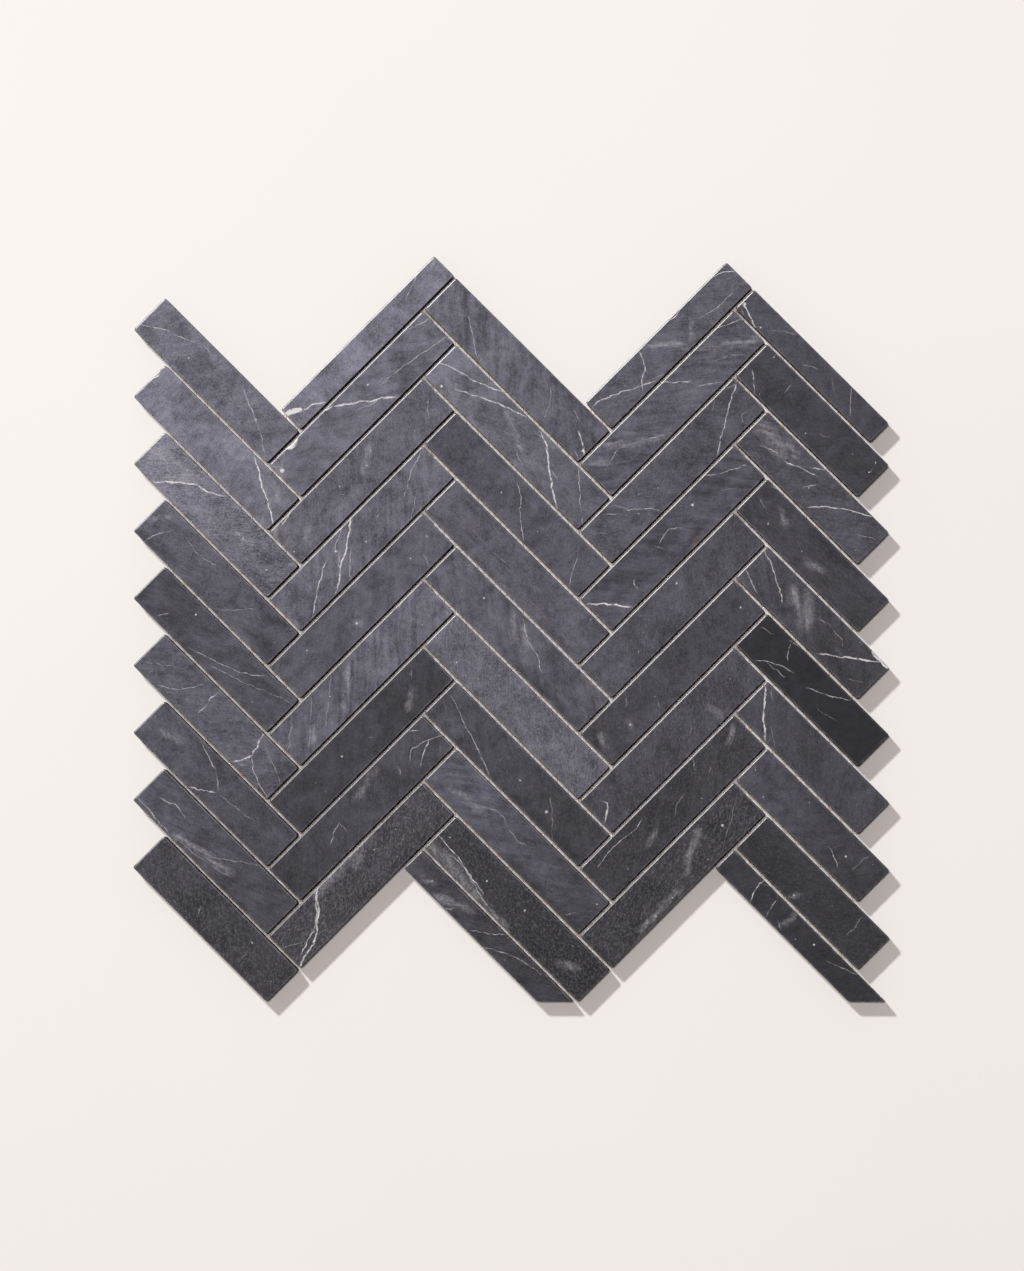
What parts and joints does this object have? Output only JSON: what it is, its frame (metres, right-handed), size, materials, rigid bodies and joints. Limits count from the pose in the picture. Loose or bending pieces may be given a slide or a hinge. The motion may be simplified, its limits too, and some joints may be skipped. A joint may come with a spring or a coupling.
{
  "type": "herringbone mosaic tile sheet",
  "caption": "Interlocking sheet of honed charcoal marble strips laid in herringbone on an open glass-fibre mesh, for bedding on a wall or floor.",
  "frame": {"origin": "middle of the sheet's box, on the plane that its mesh backing lies on", "axes": "+X across the sheet, +Y up the zigzag columns, +Z out of the honed face"},
  "size_m": [0.333, 0.3289, 0.0105],
  "materials": {
    "marble": "honed",
    "glass_fibre": "matte"
  },
  "bodies": {
    "root": {"column_1_strip_01": "marble", "column_1_strip_02": "marble", "column_1_strip_03": "marble", "column_1_strip_04": "marble", "column_1_strip_05": "marble", "column_1_strip_06": "marble", "column_1_strip_07": "marble", "column_1_strip_08": "marble", "column_1_strip_09": "marble", "column_2_strip_01": "marble", "column_2_strip_02": "marble", "column_2_strip_03": "marble", "column_2_strip_04": "marble", "column_2_strip_05": "marble", "column_2_strip_06": "marble", "column_2_strip_07": "marble", "column_2_strip_08": "marble", "column_2_strip_09": "marble", "column_3_strip_01": "marble", "column_3_strip_02": "marble", "column_3_strip_03": "marble", "column_3_strip_04": "marble", "column_3_strip_05": "marble", "column_3_strip_06": "marble", "column_3_strip_07": "marble", "column_3_strip_08": "marble", "column_3_strip_09": "marble", "column_3_strip_10": "marble", "column_4_strip_01": "marble", "column_4_strip_02": "marble", "column_4_strip_03": "marble", "column_4_strip_04": "marble", "column_4_strip_05": "marble", "column_4_strip_06": "marble", "column_4_strip_07": "marble", "column_4_strip_08": "marble", "column_4_strip_09": "marble", "column_5_strip_01": "marble", "column_5_strip_02": "marble", "column_5_strip_03": "marble", "column_5_strip_04": "marble", "column_5_strip_05": "marble", "column_5_strip_06": "marble", "column_5_strip_07": "marble", "column_5_strip_08": "marble", "column_5_strip_09": "marble", "column_5_strip_10": "marble", "mesh_weft": "glass_fibre", "mesh_warp": "glass_fibre"}
  },
  "joints": []
}
